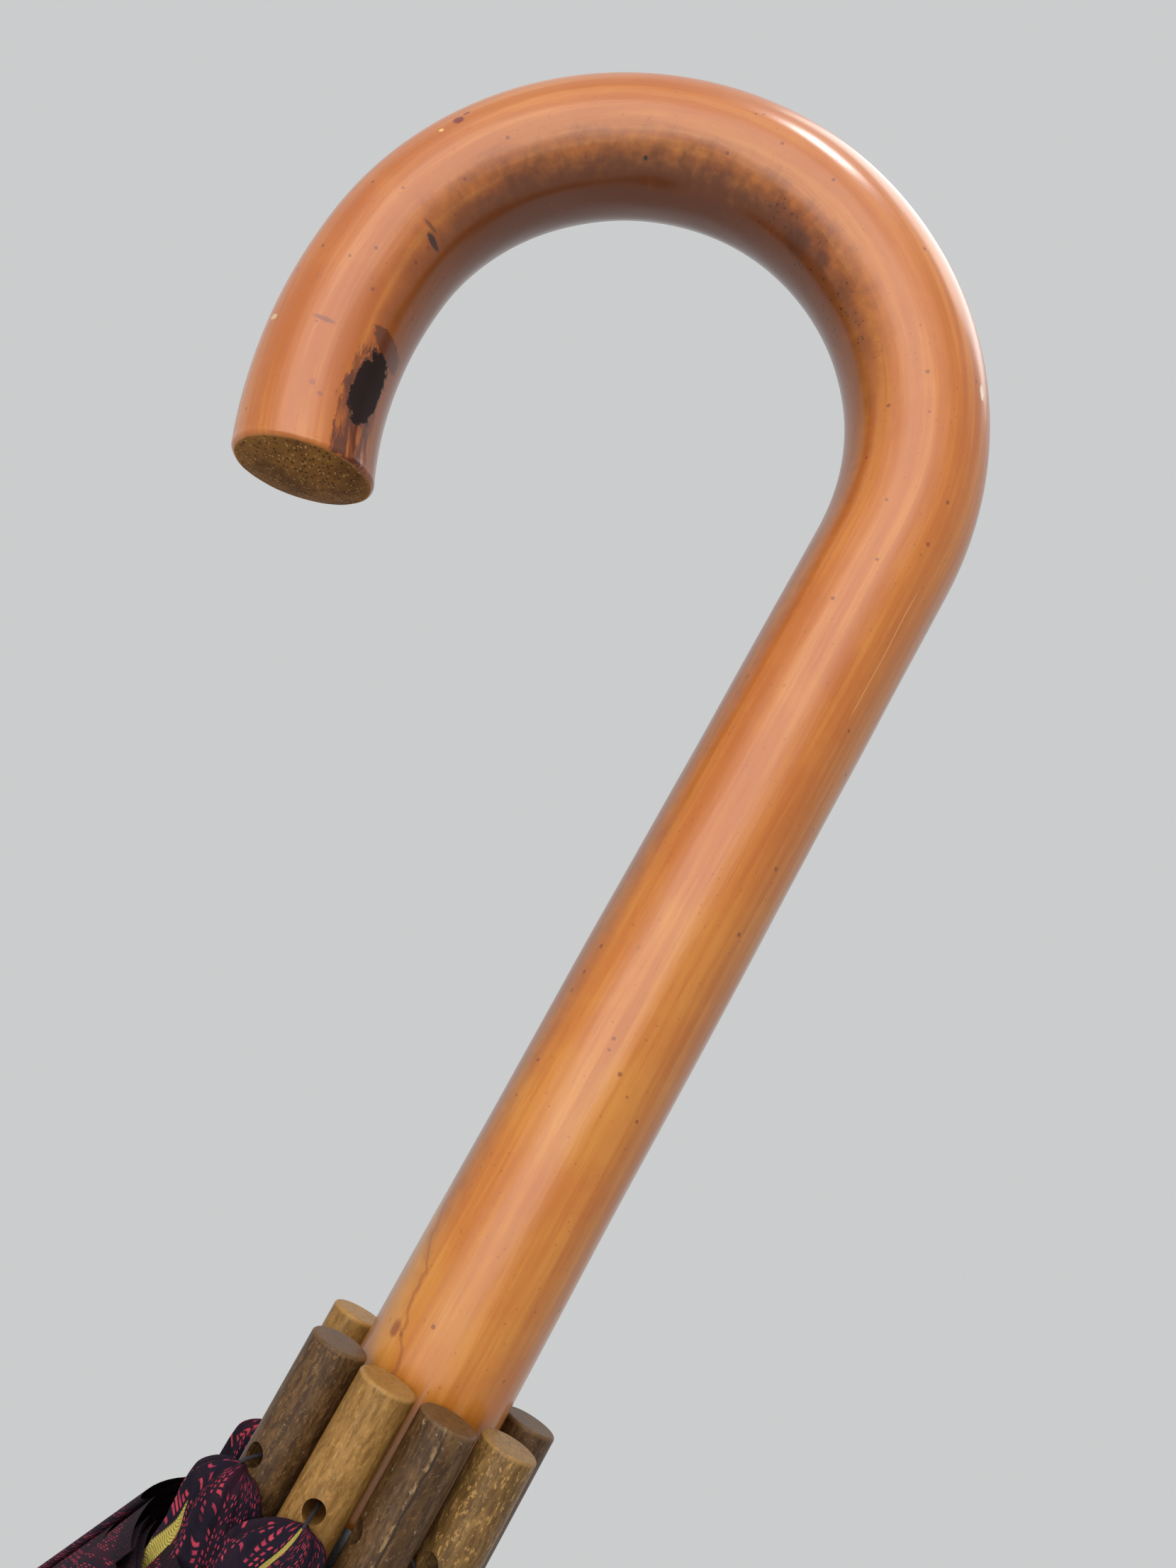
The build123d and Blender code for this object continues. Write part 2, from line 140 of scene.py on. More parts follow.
def smooth(a, b, x):
    t = np.clip((np.asarray(x, float) - a) / (b - a), 0, 1)
    return t * t * (3 - 2 * t)


def fbm(p, depth=3):
    return noise.fractal(Vector(p), 0.9, 2.1, depth)


# ---- mesh helpers ----


def mesh_object(name, points, faces):
    me = bpy.data.meshes.new(name)
    points = [tuple(p) for p in np.asarray(points, float) * MM]
    me.from_pydata(points, [], [tuple(int(v) for v in f) for f in faces])
    me.validate()
    me.update()
    ob = bpy.data.objects.new(name, me)
    bpy.context.scene.collection.objects.link(ob)
    me.polygons.foreach_set("use_smooth", [True] * len(me.polygons))
    return ob


def grid_faces(rows, cols, wrap=False):
    faces = []
    for r in range(rows - 1):
        for c in range(cols if wrap else cols - 1):
            d = (c + 1) % cols
            a = r * cols
            faces.append((a + c, a + d, a + cols + d, a + cols + c))
    return faces


def put_attribute(ob, name, values, kind="FLOAT"):
    a = ob.data.attributes.new(name, kind, "POINT")
    flat = np.asarray(values, np.float32).ravel()
    a.data.foreach_set("vector" if kind == "FLOAT_VECTOR" else "value", flat)


def tube(name, path, radius, sides=10):
    """Round tube along a path in millimetres."""
    path = np.asarray(path, float)
    n = len(path)
    radius = np.broadcast_to(radius, n)
    tangent = np.gradient(path, axis=0)
    tangent /= np.linalg.norm(tangent, axis=1)[:, None]
    up = np.array([0.3, 0.2, 0.9])
    pts = []
    for k in range(n):
        a = np.cross(tangent[k], up)
        a /= np.linalg.norm(a)
        b = np.cross(tangent[k], a)
        for q in range(sides):
            t = 2 * math.pi * q / sides
            pts.append(path[k] + radius[k] * (a * math.cos(t) + b * math.sin(t)))
    faces = grid_faces(n, sides, wrap=True)
    faces.append(tuple(range(sides))[::-1])
    faces.append(tuple(range((n - 1) * sides, n * sides)))
    return mesh_object(name, pts, faces)


# ---- material helpers ----


class Paint:
    """A Principled material with short names for the nodes that it uses."""

    def __init__(self, name, color=(0.5, 0.5, 0.5), rough=0.5, metal=0.0, coat=0.0, coat_rough=0.1, sheen=0.0):
        self.m = bpy.data.materials.new(name)
        self.m.use_nodes = True
        self.t = self.m.node_tree
        self.b = self.t.nodes["Principled BSDF"]
        self.set("Base Color", (*color, 1))
        self.set("Roughness", rough)
        self.set("Metallic", metal)
        self.set("Coat Weight", coat)
        self.set("Coat Roughness", coat_rough)
        self.set("Sheen Weight", sheen)
        self.set("IOR", 1.45)

    def set(self, name, value):
        self.b.inputs[name].default_value = value

    def node(self, kind, **facts):
        n = self.t.nodes.new(kind)
        for k, v in facts.items():
            setattr(n, k, v)
        return n

    def feed(self, socket, value):
        if isinstance(value, bpy.types.NodeSocket):
            self.t.links.new(value, socket)
        elif isinstance(value, tuple) and len(value) == 3 and socket.type == "RGBA":
            socket.default_value = (*value, 1)
        else:
            socket.default_value = value

    def attribute(self, name, out="Fac"):
        return self.node("ShaderNodeAttribute", attribute_name=name).outputs[out]

    def object_mm(self):
        n = self.node("ShaderNodeTexCoord")
        return self.vector("SCALE", n.outputs["Object"], scale=1 / MM)

    def vector(self, op, a, b=(0, 0, 0), scale=1.0):
        n = self.node("ShaderNodeVectorMath", operation=op)
        self.feed(n.inputs[0], a)
        self.feed(n.inputs[1], b)
        if op == "SCALE":
            n.inputs["Scale"].default_value = scale
        return n.outputs["Value" if op in ("LENGTH", "DOT_PRODUCT") else "Vector"]

    def math(self, op, a, b=0.0):
        n = self.node("ShaderNodeMath", operation=op)
        self.feed(n.inputs[0], a)
        self.feed(n.inputs[1], b)
        return n.outputs[0]

    def split(self, v):
        n = self.node("ShaderNodeSeparateXYZ")
        self.feed(n.inputs[0], v)
        return n.outputs

    def join(self, x, y, z):
        n = self.node("ShaderNodeCombineXYZ")
        for s, v in zip(n.inputs, (x, y, z)):
            self.feed(s, v)
        return n.outputs[0]

    def ramp(self, x, lo, hi, a=0.0, b=1.0):
        n = self.node("ShaderNodeMapRange", interpolation_type="SMOOTHSTEP")
        for s, v in zip(n.inputs, (x, lo, hi, a, b)):
            self.feed(s, v)
        return n.outputs[0]

    def noise(self, v, scale, detail=3.0, rough=0.55, distortion=0.0):
        n = self.node("ShaderNodeTexNoise")
        self.feed(n.inputs["Vector"], v)
        n.inputs["Scale"].default_value = scale
        n.inputs["Detail"].default_value = detail
        n.inputs["Roughness"].default_value = rough
        n.inputs["Distortion"].default_value = distortion
        return n.outputs["Fac"]

    def cells(self, v, scale, out="Distance"):
        n = self.node("ShaderNodeTexVoronoi")
        self.feed(n.inputs["Vector"], v)
        n.inputs["Scale"].default_value = scale
        return n.outputs[out]

    def mix(self, f, a, b):
        n = self.node("ShaderNodeMix", data_type="RGBA")
        self.feed(n.inputs[0], f)
        self.feed(n.inputs[6], a)
        self.feed(n.inputs[7], b)
        return n.outputs[2]

    def color(self, c):
        self.feed(self.b.inputs["Base Color"], c)

    def rough(self, r):
        self.feed(self.b.inputs["Roughness"], r)

    def coat(self, w):
        self.feed(self.b.inputs["Coat Weight"], w)

    def bump(self, height, distance, strength=1.0):
        n = self.node("ShaderNodeBump")
        n.inputs["Strength"].default_value = strength
        n.inputs["Distance"].default_value = distance
        self.feed(n.inputs["Height"], height)
        self.feed(self.b.inputs["Normal"], n.outputs[0])


def times(p, *parts):
    out = parts[0]
    for q in parts[1:]:
        out = p.math("MULTIPLY", out, q)
    return out


def finish_node(name, material):
    nodes[name].data.materials.clear()
    nodes[name].data.materials.append(material)


# ---- cane: lacquered, orange-brown, with stains and knocks where the real one has them ----


# knocks and spots: (place along, place round, half-length, half-width, raggedness, softness, tilt), strength, colour
CANE_MARKS = (
    ((324.6, -10.4, 0.9, 1.5, 0.35, 0.3, 0.9), 1.0, (0.055, 0.014, 0.008)),
    ((322.8, -8.4, 0.45, 1.6, 0.3, 0.4, 0.4), 0.75, (0.14, 0.032, 0.012)),
    ((349.3, -1.5, 0.42, 1.9, 0.3, 0.4), 0.7, (0.20, 0.050, 0.030)),
    ((272.3, -10.1, 0.42, 0.42, 0.1, 0.3), 1.0, (0.02, 0.008, 0.004)),
    ((305.4, 4.9, 0.9, 1.0, 0.3, 0.3), 0.9, (0.17, 0.006, 0.004)),
    ((303.6, 5.7, 0.6, 0.4, 0.3, 0.3), 0.8, (0.19, 0.008, 0.004)),
    ((308.7, 4.7, 0.4, 0.45, 0.2, 0.3), 1.0, (0.75, 0.50, 0.14)),
    ((193.5, 10.6, 1.25, 0.6, 0.3, 0.25), 1.0, (0.80, 0.66, 0.42)),
    ((360.5, -3.0, 0.55, 0.55, 0.3, 0.3), 0.7, (0.30, 0.075, 0.030)),
    ((362.0, -4.6, 0.45, 0.45, 0.3, 0.3), 0.7, (0.26, 0.060, 0.030)),
    ((350.2, 9.4, 0.5, 1.1, 0.4, 0.3, 0.5), 0.8, (0.80, 0.55, 0.25)),
    ((226.0, -10.6, 1.8, 1.2, 0.5, 0.5), 0.6, (0.10, 0.022, 0.004)),
    ((233.0, -12.0, 3.2, 2.2, 0.6, 0.5), 0.6, (0.08, 0.018, 0.004)),
)


def cane_material():
    p = Paint("cane_lacquer", rough=0.42, coat=0.8, coat_rough=0.2)
    p.set("Coat IOR", 1.55)
    p.set("Specular IOR Level", 0.3)
    v = p.attribute("cane", "Vector")
    arc = p.attribute("arc")
    x, _, s = p.split(v)
    streak = p.noise(p.vector("MULTIPLY", v, (1, 1, 0.035)), 0.55, 5, 0.6)
    fine = p.noise(p.vector("MULTIPLY", v, (1, 1, 0.06)), 3.2, 4, 0.65)
    cloud = p.noise(v, 0.045, 4, 0.55, 0.4)
    patch = p.noise(v, 0.3, 5, 0.6)
    low = p.mix(p.ramp(cloud, 0.32, 0.68), (0.62, 0.235, 0.030), (0.55, 0.165, 0.018))
    high = p.mix(p.ramp(cloud, 0.32, 0.68), (0.57, 0.175, 0.022), (0.50, 0.130, 0.012))
    c = p.mix(p.ramp(s, 30, 190), low, high)
    c = p.mix(times(p, p.ramp(streak, 0.42, 0.66), 0.38), c, (0.40, 0.092, 0.008))
    c = p.mix(times(p, p.ramp(streak, 0.52, 0.34), 0.30), c, (0.68, 0.285, 0.055))
    c = p.mix(times(p, p.ramp(fine, 0.50, 0.72), 0.22), c, (0.36, 0.085, 0.010))

    # the inside of the bend is darker: partly a real stain from handling, partly painted shade and painted dark
    # reflection
    inner = p.math("MULTIPLY", x, -1 / 12)
    window = times(p, p.ramp(s, 178, 232), p.ramp(s, 350, 300))
    reach = p.math("ADD", inner, p.math("MULTIPLY", p.math("SUBTRACT", patch, 0.5), 0.8))
    c = p.mix(times(p, p.ramp(reach, 0.30, 0.95), window, 0.9), c, (0.105, 0.021, 0.002))
    # the inner edge is darkened further along the whole cane: partly stain, partly painted shade and painted dark
    # reflection
    edge = p.ramp(p.math("ADD", inner, p.math("MULTIPLY", patch, 0.25)), 0.75, 1.1)
    c = p.mix(times(p, edge, 0.6), c, (0.17, 0.040, 0.004))

    # small specks: few all over, a crowd along the inside of the bend
    spot = p.cells(v, 0.34)
    pick = p.split(p.cells(v, 0.34, "Color"))[0]
    few = times(p, p.ramp(spot, 0.16, 0.09), p.ramp(pick, 0.70, 0.74))
    c = p.mix(times(p, few, 0.75), c, (0.20, 0.040, 0.008))
    spot2 = p.cells(v, 1.15)
    pick2 = p.split(p.cells(v, 1.15, "Color"))[1]
    crowd = times(p, p.ramp(inner, 0.45, 0.75), p.ramp(s, 190, 214), p.ramp(s, 262, 236), p.ramp(patch, 0.40, 0.60))
    many = times(p, p.ramp(spot2, 0.36, 0.20), p.ramp(pick2, 0.45, 0.55), crowd)
    c = p.mix(times(p, many, 0.9), c, (0.035, 0.010, 0.004))
    spot3 = p.cells(v, 0.8)
    pick3 = p.split(p.cells(v, 0.8, "Color"))[2]
    dust = times(p, p.ramp(spot3, 0.2, 0.1), p.ramp(pick3, 0.72, 0.76), 0.35)
    c = p.mix(dust, c, (0.24, 0.055, 0.010))

    ragged = p.noise(v, 1.1, 4, 0.65)
    ragged_soft = p.noise(p.vector("MULTIPLY", v, (1, 1, 0.3)), 0.9, 5, 0.7)

    def blob(s0, a0, rs, ra, rag=0.25, soft=0.12, tilt=0.0, src=None):
        ds = p.math("SUBTRACT", s, s0)
        da = p.math("SUBTRACT", arc, a0)
        if tilt:
            da = p.math("ADD", da, p.math("MULTIPLY", ds, tilt))
        ds = p.math("DIVIDE", ds, rs)
        da = p.math("DIVIDE", da, ra)
        d = p.math("SQRT", p.math("ADD", p.math("MULTIPLY", ds, ds), p.math("MULTIPLY", da, da)))
        if rag:
            n = p.math("MULTIPLY", p.math("SUBTRACT", ragged if src is None else src, 0.5), rag * 2)
            d = p.math("ADD", d, n)
        return p.ramp(d, 1 + soft, 1 - soft)

    # a brown stain that runs to the cut end, with streaks of bare wood in it, and a burnt flake at its top
    crease = p.math("ADD", arc, p.math("MULTIPLY", ragged, 0.35))
    side = p.ramp(crease, -16.2, -15.9)
    stain = times(p, blob(366.0, -12.2, 17.5, 4.6, 0.55, 0.07, 0.0, ragged_soft), side, p.ramp(s, 345.5, 348.0))
    c = p.mix(times(p, stain, 0.9), c, (0.205, 0.040, 0.003))
    wood = p.noise(p.vector("MULTIPLY", v, (1, 1, 0.14)), 1.15, 3, 0.5)
    bare = times(p, stain, p.ramp(wood, 0.53, 0.59), p.ramp(s, 361, 367), 0.85)
    c = p.mix(bare, c, (0.46, 0.130, 0.013))
    deep = times(p, stain, p.ramp(wood, 0.50, 0.43), 0.75)
    c = p.mix(deep, c, (0.080, 0.014, 0.001))
    wing = times(p, blob(347.3, -14.4, 2.6, 3.9, 0.35, 0.12, 0.9), p.ramp(arc, -18.6, -17.9))
    c = p.mix(times(p, wing, 0.85), c, (0.105, 0.020, 0.002))
    torn = p.noise(v, 0.62, 5, 0.75)
    flake = blob(356.4, -12.7, 7.6, 3.1, 0.62, 0.03, -0.12, torn)
    rim = blob(356.4, -12.7, 8.0, 3.5, 0.62, 0.10, -0.12, torn)
    c = p.mix(times(p, rim, 0.7), c, (0.085, 0.016, 0.002))
    c = p.mix(times(p, flake, 0.98), c, (0.0105, 0.0030, 0.0018))

    for place, share, colour in CANE_MARKS:
        mark = blob(*place)
        c = p.mix(mark if share == 1.0 else times(p, mark, share), c, colour)

    # a fine lengthwise scratch, and a tide line low on the grip
    wander = p.math("MULTIPLY", p.math("SUBTRACT", p.noise(p.join(s, 0.0, 0.0), 0.05, 1), 0.5), 1.2)
    off = p.math("ABSOLUTE", p.math("SUBTRACT", arc, p.math("ADD", wander, 8.2)))
    scratch = times(p, p.ramp(off, 0.13, 0.05), p.ramp(s, 134, 137), p.ramp(s, 160, 156), 0.55)
    c = p.mix(scratch, c, (0.85, 0.42, 0.16))
    wave = p.math("MULTIPLY", p.math("SUBTRACT", p.noise(p.join(s, 3.0, 0.0), 0.16, 3), 0.5), 7.0)
    slope = p.math("MULTIPLY", p.math("SUBTRACT", s, 22.0), -0.36)
    line = p.math("SUBTRACT", arc, p.math("ADD", slope, p.math("SUBTRACT", wave, 6.0)))
    low_end = times(p, p.ramp(s, 14, 19), p.ramp(s, 47, 40))
    tide = times(p, p.ramp(p.math("ABSOLUTE", line), 0.55, 0.1), low_end, 0.55)
    c = p.mix(tide, c, (0.30, 0.085, 0.014))
    pale = times(p, p.ramp(line, 0.0, -2.5), p.ramp(line, -9.0, -5.0), low_end, 0.35)
    c = p.mix(pale, c, (0.74, 0.36, 0.085))
    c = p.mix(times(p, blob(24.0, -8.6, 1.2, 0.8, 0.4, 0.4), 0.75), c, (0.26, 0.050, 0.008))
    p.color(c)
    gone = p.math("MAXIMUM", flake, times(p, stain, 0.55))
    p.rough(p.ramp(gone, 0.0, 1.0, 0.40, 0.75))
    p.coat(p.ramp(flake, 0.0, 1.0, 0.8, 0.06))
    height = p.math("ADD", p.math("MULTIPLY", patch, 0.5), p.math("MULTIPLY", fine, 0.10))
    height = p.math("ADD", height, p.math("MULTIPLY", flake, -0.8))
    height = p.math("ADD", height, p.math("MULTIPLY", few, -0.25))
    p.bump(height, 0.00012, 0.5)
    return p.m


def cane_end_material():
    p = Paint("cane_cut_end", rough=0.75)
    p.set("Specular IOR Level", 0.25)
    v = p.attribute("cane", "Vector")
    r = p.math("DIVIDE", p.vector("LENGTH", p.vector("MULTIPLY", v, (1, 1, 0))), 12.5)
    pores = p.cells(v, 1.55)
    pick = p.split(p.cells(v, 1.55, "Color"))[0]
    big = p.noise(v, 0.16, 3)
    c = p.mix(p.ramp(big, 0.35, 0.7), (0.27, 0.118, 0.024), (0.15, 0.060, 0.011))
    c = p.mix(times(p, p.ramp(pores, 0.46, 0.28), p.ramp(pick, 0.40, 0.5), 0.8), c, (0.055, 0.020, 0.005))
    c = p.mix(times(p, p.ramp(pores, 0.42, 0.22), p.ramp(pick, 0.40, 0.32), 0.8), c, (0.50, 0.29, 0.10))
    c = p.mix(times(p, p.ramp(r, 0.90, 0.985), 0.8), c, (0.52, 0.22, 0.055))
    p.color(c)
    p.bump(p.math("ADD", p.ramp(pores, 0.1, 0.5), p.noise(v, 2.6, 3)), 0.00012, 0.6)
    return p.m


def make_handle():
    """The cane as one tube along its bent centre line, thicker towards the cut end."""
    length = -HANDLE_FOOT
    total = length + sum(r * math.radians(t) for r, t in CROOK)
    stations, sides = 336, 120
    ts = np.linspace(0, total, stations)
    pts, cane, arc = [], [], []

    def station(s):
        if s <= length:
            return np.array([0.0, 0.0, HANDLE_FOOT + s]), 0.0
        p, h, left = np.zeros(2), 0.0, s - length
        for r, t in CROOK:
            a = min(math.radians(t), left / r)
            c = p - r * np.array([math.cos(h), math.sin(h)])
            p = c + r * np.array([math.cos(h + a), math.sin(h + a)])
            h += a
            left -= a * r
            if left <= 1e-9:
                break
        return np.array([p[0], 0.0, p[1]]), h

    def ring(s, radius, push=0.0, askew=0.0):
        c, h = station(s)
        n = np.array([math.cos(h), 0, math.sin(h)])
        t = np.array([-math.sin(h), 0, math.cos(h)])
        for q in range(sides):
            f = 2 * math.pi * q / sides - math.pi
            flat = (math.cos(f) * radius, math.sin(f) * radius, s)
            wob = 0.10 * fbm((math.cos(f) * 2.2, math.sin(f) * 2.2, s * 0.03), 2) if radius > 10 else 0.0
            off = math.cos(f) * n + math.sin(f) * np.array([0, 1, 0])
            ahead = push + askew * (0.9 - radius * math.cos(f) / CANE_RADII[-1])
            pts.append(c + (radius + wob) * off + t * ahead)
            cane.append(flat)
            d = (f + math.pi / 2 + math.pi) % (2 * math.pi) - math.pi
            arc.append(d * radius)

    radius = np.interp(ts, [0, length, total], CANE_RADII)
    edge = CUT_ROUNDING
    body = [k for k in range(len(ts)) if ts[k] < total - edge]
    for k in body:
        ring(ts[k], radius[k], 0.0, CUT_ASKEW * float(smooth(total - 40, total, ts[k])))
    rows = len(body)
    for a in np.radians(np.linspace(0, 90, 7)):
        ring(total - edge, radius[-1] - edge + edge * math.cos(a), edge * math.sin(a), CUT_ASKEW)
        rows += 1
    cap_first = rows - 1
    for r in (0.86, 0.74, 0.60, 0.45, 0.30, 0.16, 0.05):
        ring(total - edge, (radius[-1] - edge) * r, edge + CUT_DOME * (1 - r * r), CUT_ASKEW)
        rows += 1
    last_ring = (rows - 1) * sides
    faces = grid_faces(rows, sides, wrap=True)
    faces.append(tuple(range(sides))[::-1])
    faces.append(tuple(range(last_ring, last_ring + sides)))
    ob = mesh_object("cane_crook", pts, faces)
    put_attribute(ob, "cane", cane, "FLOAT_VECTOR")
    put_attribute(ob, "arc", arc)
    ob.data.materials.append(cane_material())
    ob.data.materials.append(cane_end_material())
    for poly in ob.data.polygons:
        on_cut = cap_first - 2 <= poly.index // sides and poly.index < last_ring
        if on_cut or poly.index == len(ob.data.polygons) - 1:
            poly.material_index = 1
    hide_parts("crook_handle")
    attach(ob, "umbrella_stick")


make_handle()

# ---- rib tips: turned wood, some darker than others ----


def tip_material(name, light, dark, mottle, scuff, crack=None):
    p = Paint(name, rough=0.45, coat=0.08, coat_rough=0.2)
    p.set("Specular IOR Level", 0.28)
    v = p.object_mm()
    x, y, z = p.split(v)
    grain = p.noise(p.vector("MULTIPLY", v, (1, 1, 0.22)), 1.5, 4, 0.62)
    flake = p.noise(p.vector("MULTIPLY", v, (1, 1, 0.45)), 1.9, 5, 0.72)
    big = p.noise(p.vector("MULTIPLY", v, (1, 1, 0.35)), 0.28, 2)
    c = p.mix(p.ramp(grain, 0.36, 0.66), light, dark)
    c = p.mix(times(p, p.ramp(big, 0.42, 0.62), 0.5), c, dark)
    c = p.mix(times(p, p.ramp(flake, 0.545, 0.60), mottle), c, tuple(min(1.0, 1.75 * a) for a in light))
    chipped = p.noise(p.vector("MULTIPLY", v, (1, 1, 0.55)), 1.15, 6, 0.8)
    chips = times(p, p.ramp(chipped, 0.625, 0.655), scuff)
    c = p.mix(chips, c, (0.50, 0.40, 0.24))
    level = p.math("ADD", z, p.math("MULTIPLY", p.noise(v, 0.9, 3), 0.5))
    worn = p.ramp(level, TIP_END - 0.55, TIP_END - 0.05)
    c = p.mix(times(p, worn, 0.55), c, tuple(min(1.0, 1.35 * a) for a in light))
    rings = p.ramp(p.noise(p.vector("MULTIPLY", v, (1, 1, 0.02)), 1.3, 3, 0.5, 0.8), 0.52, 0.60)
    c = p.mix(times(p, rings, p.ramp(z, TIP_END - 0.12, TIP_END - 0.02), 0.45), c, dark)
    height = p.math("ADD", p.math("MULTIPLY", flake, 0.7), p.math("MULTIPLY", grain, 0.3))
    if crack:
        cx, cy, top, foot = crack
        wob = p.math("MULTIPLY", p.math("SUBTRACT", p.noise(p.join(0.0, 0.0, z), 0.25, 2), 0.5), 1.1)
        off = p.math("SUBTRACT", p.math("SUBTRACT", x, cx), wob)
        near = p.ramp(y, cy + 2.2, cy + 1.4)
        thin = p.ramp(p.math("ABSOLUTE", off), 0.20, 0.10)
        line = times(p, thin, near, p.ramp(z, foot, foot + 3), p.ramp(z, top, top - 2))
        c = p.mix(times(p, line, 0.95), c, (0.030, 0.018, 0.010))
        beside = p.ramp(p.math("ABSOLUTE", p.math("ADD", off, 0.45)), 0.35, 0.1)
        lip = times(p, beside, near, p.ramp(flake, 0.48, 0.58), 0.6)
        c = p.mix(times(p, lip, p.math("SUBTRACT", 1.0, line)), c, (0.34, 0.22, 0.10))
        height = p.math("ADD", height, p.math("MULTIPLY", line, -2.5))
    p.color(c)
    p.bump(height, 0.00010, 0.55)
    return p.m


TAN = ((0.355, 0.186, 0.050), (0.200, 0.096, 0.020))
BROWN = ((0.128, 0.066, 0.024), (0.050, 0.023, 0.008))
TIP_LOOKS = {
    1: (BROWN, 0.35, 0.5),
    2: (TAN, 0.4, 0.3),
    3: (BROWN, 0.35, 0.4),
    4: (TAN, 0.25, 0.2),
    5: (BROWN, 0.65, 0.5),
    6: (TAN, 0.35, 0.35),
    7: (BROWN, 0.45, 0.95),
    8: (((0.26, 0.145, 0.045), (0.115, 0.058, 0.016)), 0.9, 0.3),
}
seven = rib_line(6, REACH - 12)
for n, ((light, dark), mottle, scuff) in TIP_LOOKS.items():
    crack = (seven[0] + 0.9, seven[1] - 4.3, -146.4, -170.0) if n == 7 else None
    finish_node(f"rib_tip_{n}", tip_material(f"tip_wood_{n}", light, dark, mottle, scuff, crack))

# ---- metal and moulded pieces ----


def worn_metal(name, color, rough, metal, wear, wear_color, stretch=(1, 1, 0.08), coat=0.0):
    p = Paint(name, color, rough, metal, coat, 0.12)
    v = p.object_mm()
    lines = p.noise(p.vector("MULTIPLY", v, stretch), 4.0, 4, 0.6)
    rub = p.noise(p.vector("MULTIPLY", v, (1, 1, 0.3)), 0.8, 6, 0.75)
    c = p.mix(p.ramp(lines, 0.35, 0.7), color, tuple(a * 0.72 for a in color))
    worn = times(p, p.ramp(rub, 0.60, 0.66), wear)
    c = p.mix(worn, c, wear_color)
    p.color(c)
    p.rough(p.ramp(lines, 0.3, 0.7, rough * 0.85, min(1.0, rough * 1.25)))
    p.bump(p.math("ADD", lines, p.math("MULTIPLY", worn, -0.6)), 0.00004, 0.5)
    return p.m


METALS = {
    "steel": worn_metal("drawn_steel", (0.56, 0.56, 0.57), 0.30, 1.0, 0.5, (0.30, 0.27, 0.24)),
    "spring_steel": worn_metal("spring_wire", (0.48, 0.48, 0.50), 0.34, 1.0, 0.4, (0.26, 0.20, 0.15), (1, 1, 1)),
    "rib_steel": worn_metal("black_enamel", (0.022, 0.022, 0.025), 0.36, 0.0, 0.6, (0.20, 0.19, 0.18), coat=0.4),
    "collar": worn_metal("black_moulding", (0.018, 0.018, 0.020), 0.42, 0.0, 0.35, (0.07, 0.07, 0.07), (1, 1, 1), coat=0.2),
    "ferrule_metal": worn_metal("worn_brass", (0.50, 0.37, 0.15), 0.38, 1.0, 0.7, (0.22, 0.15, 0.07), (1, 1, 1)),
}


def ferrule_material():
    p = Paint("ferrule_turned_wood", rough=0.4, coat=0.4, coat_rough=0.2)
    v = p.object_mm()
    z = p.split(v)[2]
    grain = p.noise(p.vector("MULTIPLY", v, (1, 1, 0.12)), 1.4, 4, 0.6)
    c = p.mix(p.ramp(grain, 0.35, 0.66), (0.24, 0.115, 0.040), (0.115, 0.050, 0.018))
    scuffed = times(p, p.ramp(p.noise(v, 0.9, 6, 0.8), 0.60, 0.65), p.ramp(z, -745, -785), 0.8)
    c = p.mix(scuffed, c, (0.42, 0.28, 0.15))
    p.color(c)
    p.bump(grain, 0.0001, 0.5)
    return p.m


METALS["ferrule_wood"] = ferrule_material()

# ---- cloth: near-black weave with rows of small red flecks ----


